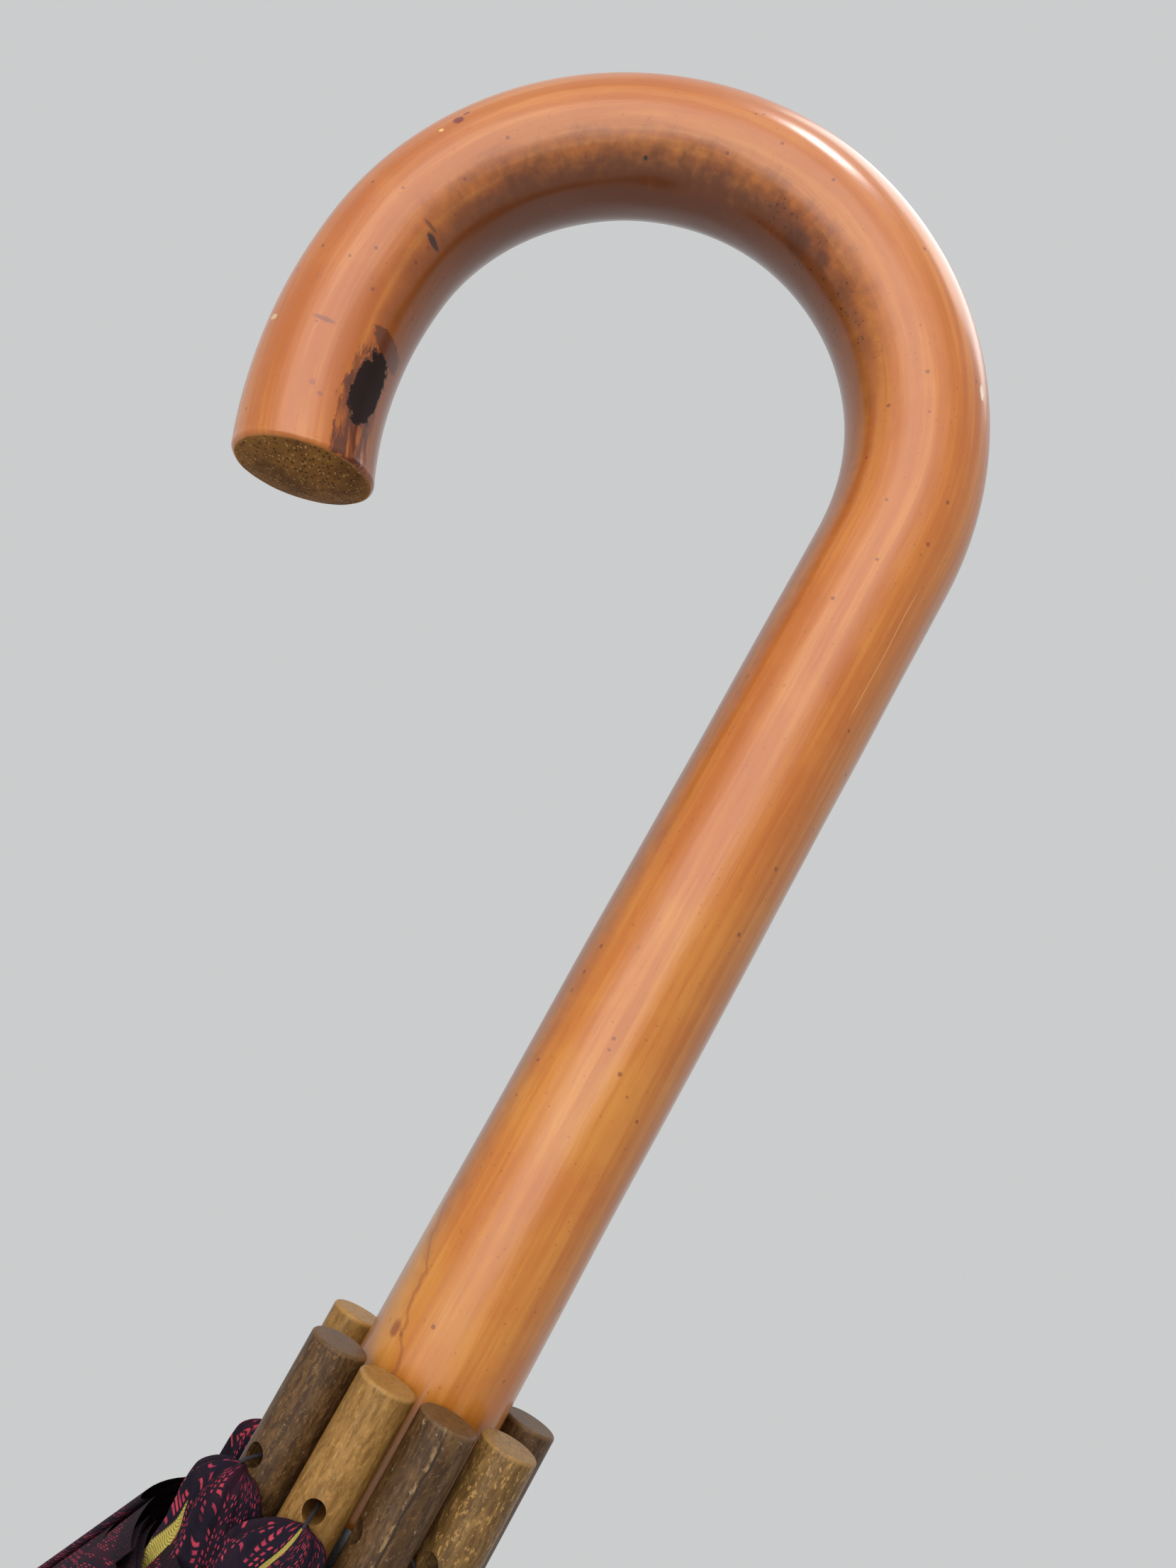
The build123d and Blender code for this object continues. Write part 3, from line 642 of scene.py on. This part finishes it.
def cloth_material(name, stripe=None):
    p = Paint(name, rough=0.9, sheen=0.06)
    p.set("Sheen Roughness", 0.5)
    p.set("Sheen Tint", (0.30, 0.16, 0.20, 1))
    p.set("Specular IOR Level", 0.15)
    v = p.attribute("cloth", "Vector")
    x, y, _ = p.split(v)
    row_gap, dash_gap = 0.56, 0.86
    sway = p.math("MULTIPLY", p.math("SUBTRACT", p.noise(v, 0.09, 2), 0.5), 0.8)
    rows = p.math("DIVIDE", p.math("ADD", x, sway), row_gap)
    row = p.math("FLOOR", rows)
    in_row = p.math("ABSOLUTE", p.math("SUBTRACT", p.math("FRACT", rows), 0.5))
    shift = p.math("FRACT", p.math("MULTIPLY", row, 0.5))
    dashes = p.math("ADD", p.math("DIVIDE", y, dash_gap), shift)
    dash = p.math("FLOOR", dashes)
    in_dash = p.math("ABSOLUTE", p.math("SUBTRACT", p.math("FRACT", dashes), 0.5))
    white = p.node("ShaderNodeTexWhiteNoise", noise_dimensions="2D")
    p.feed(white.inputs["Vector"], p.join(row, dash, 0.0))
    lucky = white.outputs["Value"]
    bands = p.noise(p.vector("MULTIPLY", v, (1.0, 0.12, 1)), 0.16, 3, 0.6)
    keep = p.ramp(p.math("ADD", lucky, p.math("MULTIPLY", bands, -2.0)), -0.38, -0.42)
    fleck = times(p, p.ramp(in_row, 0.27, 0.15), p.ramp(in_dash, 0.34, 0.24), keep)
    weave = p.math("SINE", p.math("MULTIPLY", x, 2 * math.pi / 0.37))
    weave2 = p.math("SINE", p.math("MULTIPLY", y, 2 * math.pi / 0.42))
    knit = p.math("MULTIPLY", weave, weave2)
    ground = p.mix(p.ramp(p.noise(v, 0.3, 3), 0.35, 0.65), (0.011, 0.009, 0.017), (0.022, 0.012, 0.022))
    ground = p.mix(times(p, p.ramp(p.noise(v, 0.07, 2), 0.5, 0.66), 0.6), ground, (0.050, 0.010, 0.020))
    red = p.mix(p.ramp(lucky, 0.0, 0.45), (0.52, 0.055, 0.080), (0.36, 0.035, 0.075))
    c = p.mix(fleck, ground, red)
    c = p.mix(times(p, p.ramp(y, HEM - 2.6, HEM - 2.2), 0.9), c, (0.012, 0.010, 0.014))
    if stripe:
        at, wide = stripe
        off = p.math("ABSOLUTE", p.math("SUBTRACT", x, at))
        band = p.ramp(off, wide, wide * 0.86)
        thread = p.mix(p.ramp(knit, -0.5, 0.5), (0.56, 0.45, 0.10), (0.28, 0.22, 0.05))
        c = p.mix(band, c, thread)
    p.color(c)
    height = p.math("ADD", p.math("MULTIPLY", fleck, 0.8), p.math("MULTIPLY", knit, 0.35))
    p.bump(height, 0.00012, 0.7)
    return p.m


CLOTH = cloth_material("umbrella_cloth")
CLOTH_STRIPED = cloth_material("umbrella_cloth_striped", (1.2, 0.6))


def fold_of_gore(i):
    """The cloth of gore i when the ribs are closed: three soft folds that lean over one another between two ribs."""
    rows, cols, folds = 74, 148, 3
    seed = rng.uniform(0, 50)
    tall = rng.uniform(0.78, 1.0, folds)
    wide = rng.uniform(-0.05, 0.05, folds)
    pts, cloth = [], []
    for k in range(rows):
        t = k / (rows - 1)
        along = CLOTH_START + (HEM - CLOTH_START) * t ** 0.8
        depth = float(np.interp(along, FOLD_STATIONS, FOLD_DEPTHS))
        a, b = rib_line(i, along, 3.1), rib_line(i + 1, along, 3.1)
        half = FLAT_SPREAD * along / (2 * folds)
        turn_a = math.degrees(math.atan2(a[1], a[0]))
        turn_b = turn_a + (math.degrees(math.atan2(b[1], b[0])) - turn_a) % 360
        base = (math.hypot(a[0], a[1]) + math.hypot(b[0], b[1])) / 2
        lean = math.sqrt(max(0.0, (0.9 * half) ** 2 - depth**2)) / (base + depth / 2)
        lean = min(lean, 1.45)
        across = 0.0
        last = None
        for c in range(cols):
            u = c / (cols - 1)
            f = min(int(u * folds), folds - 1)
            local = u * folds - f
            rise = (0.5 - 0.5 * math.cos(2 * math.pi * local)) ** 0.85
            high = depth * tall[f] * rise
            crumple = 0.0
            if along > 60:
                crumple = fbm((u * 5 + seed, along * 0.016, i * 3.1)) * min(1.0, along / 300)
            radius = base + high + crumple * (0.6 + 2.4 * rise) * smooth(60, 420, along)
            angle = turn_a + (turn_b - turn_a) * (u + wide[f] * rise)
            angle += math.degrees(lean) * rise ** 1.2
            angle += crumple * 5.0 * rise
            radius += 1.1 * math.sin(2 * math.pi * local) * min(1.0, depth / 10)
            # the hem dips between the ribs, and rises to the tips that it is sewn to
            drop = 0.0
            if along > 430:
                near = min(u, 1 - u)
                lift = 4.0 * math.exp(-((near / 0.06) ** 2))
                wave = 2.5 * rise * math.sin(2.1 * f + i) + 4.0 * rise + 2.0 * crumple
                drop = (wave - lift) * float(smooth(430, HEM, along))
            p = outward(angle) * radius + np.array([0, 0, NOTCH + along * math.cos(LEAN) - drop])
            if last is not None:
                across += float(np.linalg.norm(p - last))
            last = p
            pts.append(p)
            cloth.append((across, along, i * 31.0))
    ob = mesh_object(f"folded_gore_{i + 1}", pts, grid_faces(rows, cols))
    put_attribute(ob, "cloth", cloth, "FLOAT_VECTOR")
    ob.data.materials.append(CLOTH)
    return ob


def taut_gore(i):
    """The same cloth when the ribs are open, fanned out from rib i to its neighbour.

    Each point is put where the blend of the two bodies carries it to the open shape.
    """
    rows, cols = 46, 40
    swing = hinge_motion(f"rib_{i + 1}_swing")
    swing_next = hinge_motion(f"rib_{(i + 1) % 8 + 1}_swing")
    spread = joint_list[f"gore_{i + 1}_spread"]
    axis, centre = np.array(spread["axis"]), np.array(spread["pos_m"]) / MM
    full = math.radians(spread["range_deg"][1])
    back = np.linalg.inv(swing)
    mid = outward(rib_angle(i) + SPACING / 2 + 90)
    start, end = rib_line(i, 440, 2.8), rib_line(i + 1, 440, 2.8)
    lo, hi = float(start @ mid), float(end @ mid)

    def move(m, p):
        return m[:3, :3] @ p + m[:3, 3]

    pts, cloth = [], []
    for k in range(rows):
        t = k / (rows - 1)
        for c in range(cols):
            u = c / (cols - 1)
            bow = 4 * u * (1 - u)
            along = CLOTH_START + (HEM + 10 - CLOTH_START) * t * (1 - 0.055 * bow * t)
            a = move(swing, rib_line(i, along, 2.6))
            b = move(swing_next, rib_line(i + 1, along, 2.6))
            q = a + (b - a) * u
            q = q + np.array([0, 0, 1.0]) * 16.0 * bow * t * (1 - 0.35 * t)
            q = move(back, q)

            def rest(w):
                return rotation(axis, -w * full) @ (q - centre) + centre

            def share(w):
                x = min(1.0, max(0.0, (float(rest(w) @ mid) - lo) / (hi - lo)))
                return x * x * (3 - 2 * x)

            w0, w1 = 0.0, 1.0
            if share(0.0) <= 0.0:
                w = 0.0
            elif share(1.0) >= 1.0:
                w = 1.0
            else:
                for _ in range(40):
                    w = (w0 + w1) / 2
                    if share(w) > w:
                        w0 = w
                    else:
                        w1 = w
            pts.append(rest(w))
            cloth.append(((u - 0.5) * FLAT_SPREAD * along, along, 300 + i * 31.0))
    ob = mesh_object(f"gore_{i + 1}", pts, grid_faces(rows, cols))
    put_attribute(ob, "cloth", cloth, "FLOAT_VECTOR")
    ob.data.materials.append(CLOTH)
    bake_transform(ob)
    return ob


def knob(i):
    """The gathered corner of the cloth, sewn to rib i's tip at the lower rim of its hole."""
    rows, cols = 44, 132
    seed = rng.uniform(0, 40)
    lower = 8.0 if i in (6, 7) else 0.0
    centre = rib_line(i, REACH - HOLE_DROP - lower, 0.5)
    foot = rib_line(i, REACH - 46, 0.5)
    out, side = outward(rib_angle(i)), outward(rib_angle(i) + 90)
    turn = math.radians(HOLE_TURN[i])
    facing = out * math.cos(turn) + side * math.sin(turn)
    start = centre + facing * 4.4 + np.array([0, 0, -2.2])
    pts, cloth = [], []
    for k in range(rows):
        v = (k / (rows - 1)) ** 1.3
        settle = float(smooth(0.0, 0.5, v))
        level = start[2] * (1 - v) + foot[2] * v
        middle = start * (1 - settle) + foot * settle
        middle = middle + out * (1.8 * settle) - side * (1.6 * math.sin(math.pi * settle))
        middle[2] = level
        swell = math.sqrt(1 - (1 - min(1.0, v / 0.30)) ** 2)
        size = 0.5 + 5.4 * swell + 1.8 * v
        for c in range(cols):
            a = 2 * math.pi * c / cols - math.pi
            fold = math.sin(7 * a + 1.6 * math.sin(2 * a + seed) + 2.5 * v + seed)
            fine = math.sin(19 * a + 2.0 * math.sin(3 * a + seed) - 4.0 * v)
            lump = fbm((math.cos(a) * 1.1 + seed, math.sin(a) * 1.1, v * 2.6))
            r = size * (1 + 0.10 * fold * swell) + 0.22 * fine * swell + 1.3 * lump * (0.25 + v)
            d = out * math.cos(a) + side * math.sin(a)
            raised = fold * (1 - v) * swell + 0.8 * math.cos(a - turn)
            pts.append(middle + d * r + np.array([0, 0, raised]))
            cloth.append((7.4 * a + 1.2 * fold, v * 27.0 + 0.5 * fine, seed * 3))
    faces = grid_faces(rows, cols, wrap=True)
    faces.append(tuple(range(cols))[::-1])
    ob = mesh_object(f"sewn_corner_{i + 1}", pts, faces)
    put_attribute(ob, "cloth", cloth, "FLOAT_VECTOR")
    ob.data.materials.append(CLOTH_STRIPED if i in (4, 5) else CLOTH)
    return ob


def stitches(i):
    """Dark thread through the tip's hole, over its lower rim."""
    out, side = outward(rib_angle(i)), outward(rib_angle(i) + 90)
    turn = math.radians(HOLE_TURN[i])
    facing = out * math.cos(turn) + side * math.sin(turn)
    middle = rib_line(i, REACH - HOLE_DROP, 0.5)
    path = []
    for k in range(22):
        t = k / 21
        reach = 4.6 * math.cos(math.pi * (t - 0.5) * 0.96)
        path.append(middle + facing * (1.2 + reach) + np.array([0, 0, 0.4 - 4.2 * t]))
    return tube(f"thread_{i + 1}", path, 0.28, 7)


THREAD = Paint("black_thread", (0.015, 0.013, 0.016), 0.8)
twist = THREAD.noise(THREAD.object_mm(), 5.0, 3)
THREAD.color(THREAD.mix(twist, (0.010, 0.009, 0.012), (0.040, 0.030, 0.034)))
THREAD.bump(twist, 0.0001, 0.6)

for i in range(8):
    folded = fold_of_gore(i)
    taut = taut_gore(i)
    corner = knob(i)
    thread = stitches(i)
    thread.data.materials.append(THREAD.m)
    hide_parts(f"canopy_panel_{i + 1}")
    body = f"rib_arm_{i + 1}"
    for ob in (folded, corner, thread):
        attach(ob, body)
    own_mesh(folded)

# ---- tie band and its snap, which lie on one fold ----


def replaced_copy(node, name):
    ob = nodes[node].copy()
    ob.data = nodes[node].data.copy()
    for key in [k for k in ob.keys() if k.startswith("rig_")]:
        del ob[key]
    ob.parent = None
    ob.name = name
    bpy.context.scene.collection.objects.link(ob)
    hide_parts(node)
    return ob


band = replaced_copy("tie_band", "tie_strap")
place = np.array([v.co for v in band.data.vertices], float) / MM
across = place[:, 1] * 0.7 + place[:, 0] * 0.7
put_attribute(band, "cloth", np.stack([across, place[:, 2], np.zeros(len(place))], 1), "FLOAT_VECTOR")
band.data.materials.clear()
band.data.materials.append(CLOTH)
snap = replaced_copy("band_snap", "strap_snap")
snap.data.materials.clear()
snap.data.materials.append(METALS["ferrule_metal"])
for ob in (band, snap):
    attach(ob, "gore_4")
    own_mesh(ob)

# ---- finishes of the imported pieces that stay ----

rosette = Paint("rosette_cloth", (0.02, 0.012, 0.02), 0.9, sheen=0.3)
tufts = rosette.noise(rosette.object_mm(), 3.0, 4, 0.7)
rosette.color(rosette.mix(rosette.ramp(tufts, 0.5, 0.62), (0.014, 0.011, 0.018), (0.20, 0.025, 0.045)))
rosette.bump(tufts, 0.0002, 0.7)

for subpart in kit["record"]["subparts"]:
    node, slot = subpart["node"], subpart["material_slot"]
    if slot in METALS and not nodes[node].hide_render:
        finish_node(node, METALS[slot])
finish_node("outer_rosette", rosette.m)

# ---- floor, light and camera ----


PALE = (0.60, 0.605, 0.61)


def world_light():
    w = bpy.data.worlds.new("studio")
    bpy.context.scene.world = w
    w.use_nodes = True
    t = w.node_tree
    bg = t.nodes["Background"]
    path = t.nodes.new("ShaderNodeLightPath")
    seen = t.nodes.new("ShaderNodeMath")
    seen.operation = "MAXIMUM"
    t.links.new(path.outputs["Is Camera Ray"], seen.inputs[0])
    both = t.nodes.new("ShaderNodeMath")
    both.operation = "MAXIMUM"
    t.links.new(path.outputs["Is Glossy Ray"], both.inputs[0])
    t.links.new(path.outputs["Is Transmission Ray"], both.inputs[1])
    t.links.new(both.outputs[0], seen.inputs[1])
    mix = t.nodes.new("ShaderNodeMix")
    mix.data_type = "RGBA"
    mix.inputs[6].default_value = (0.36, 0.36, 0.37, 1)
    mix.inputs[7].default_value = (*PALE, 1)
    t.links.new(seen.outputs[0], mix.inputs[0])
    t.links.new(mix.outputs[2], bg.inputs["Color"])


def area(name, place, target, size, power):
    lamp = bpy.data.lights.new(name, "AREA")
    lamp.shape = "RECTANGLE"
    lamp.size, lamp.size_y = size
    lamp.energy = power
    ob = bpy.data.objects.new(name, lamp)
    bpy.context.scene.collection.objects.link(ob)
    ob.location = place
    ob.rotation_mode = "QUATERNION"
    ob.rotation_quaternion = (Vector(target) - Vector(place)).to_track_quat("-Z", "Y")
    ob.visible_camera = False


world_light()
area("broad_sky", (-0.35, -1.5, 0.25), (0, 0, -0.1), (1.5, 1.5), 11)
area("wide_sky", (-0.4, -1.6, 0.3), (0, 0, -0.1), (2.9, 2.9), 21)
area("high_window", (-0.20, -0.45, 1.25), (-0.03, 0, 0.0), (0.16, 0.30), 4)
area("top_fill", (0.2, 0.7, 1.8), (0, 0, -0.3), (1.2, 1.2), 9)

floor_mesh = bpy.data.meshes.new("floor")
half = 12.0
corners = [(-half, -half, 0), (half, -half, 0), (half, half, 0), (-half, half, 0)]
floor_mesh.from_pydata(corners, [], [(0, 1, 2, 3)])
floor = bpy.data.objects.new("floor", floor_mesh)
floor.location = (0, 0, cad_low.z - 0.0005)
bpy.context.scene.collection.objects.link(floor)


def floor_material():
    """Pale and plain; far from the object it turns into the backdrop's own shade, so that no horizon shows."""
    p = Paint("pale_floor", PALE, 0.9)
    p.set("Specular IOR Level", 0.1)
    glow = p.node("ShaderNodeEmission")
    glow.inputs["Color"].default_value = (*PALE, 1)
    path = p.node("ShaderNodeLightPath")
    seen = p.math("MAXIMUM", path.outputs["Is Camera Ray"], path.outputs["Is Glossy Ray"])
    seen = p.math("MAXIMUM", seen, path.outputs["Is Transmission Ray"])
    away = p.vector("LENGTH", p.vector("MULTIPLY", p.node("ShaderNodeNewGeometry").outputs["Position"], (1, 1, 0)))
    both = p.node("ShaderNodeMixShader")
    p.feed(both.inputs[0], p.math("MULTIPLY", p.ramp(away, 0.35, 1.3), seen))
    p.t.links.new(p.b.outputs[0], both.inputs[1])
    p.t.links.new(glow.outputs[0], both.inputs[2])
    p.t.links.new(both.outputs[0], p.t.nodes["Material Output"].inputs[0])
    return p.m


floor_mesh.materials.append(floor_material())

camera = bpy.data.cameras.new("camera")
camera.sensor_width = 36.0
camera.lens = 36.0 * 1820.0 / 2212.0
camera.clip_start = 0.005
cam = bpy.data.objects.new("camera", camera)
bpy.context.scene.collection.objects.link(cam)
ahead = Vector((-0.1510, 0.9688, 0.1965)).normalized()
up = Vector((-0.4693, -0.2452, 0.8483))
right = ahead.cross(up).normalized()
up = right.cross(ahead)
eye = Vector((7.25, -202.95, -98.34)) * MM
cam.matrix_world = Matrix.Translation(eye) @ Matrix((right, up, -ahead)).transposed().to_4x4()
bpy.context.scene.camera = cam
bpy.context.scene.view_settings.view_transform = "Standard"
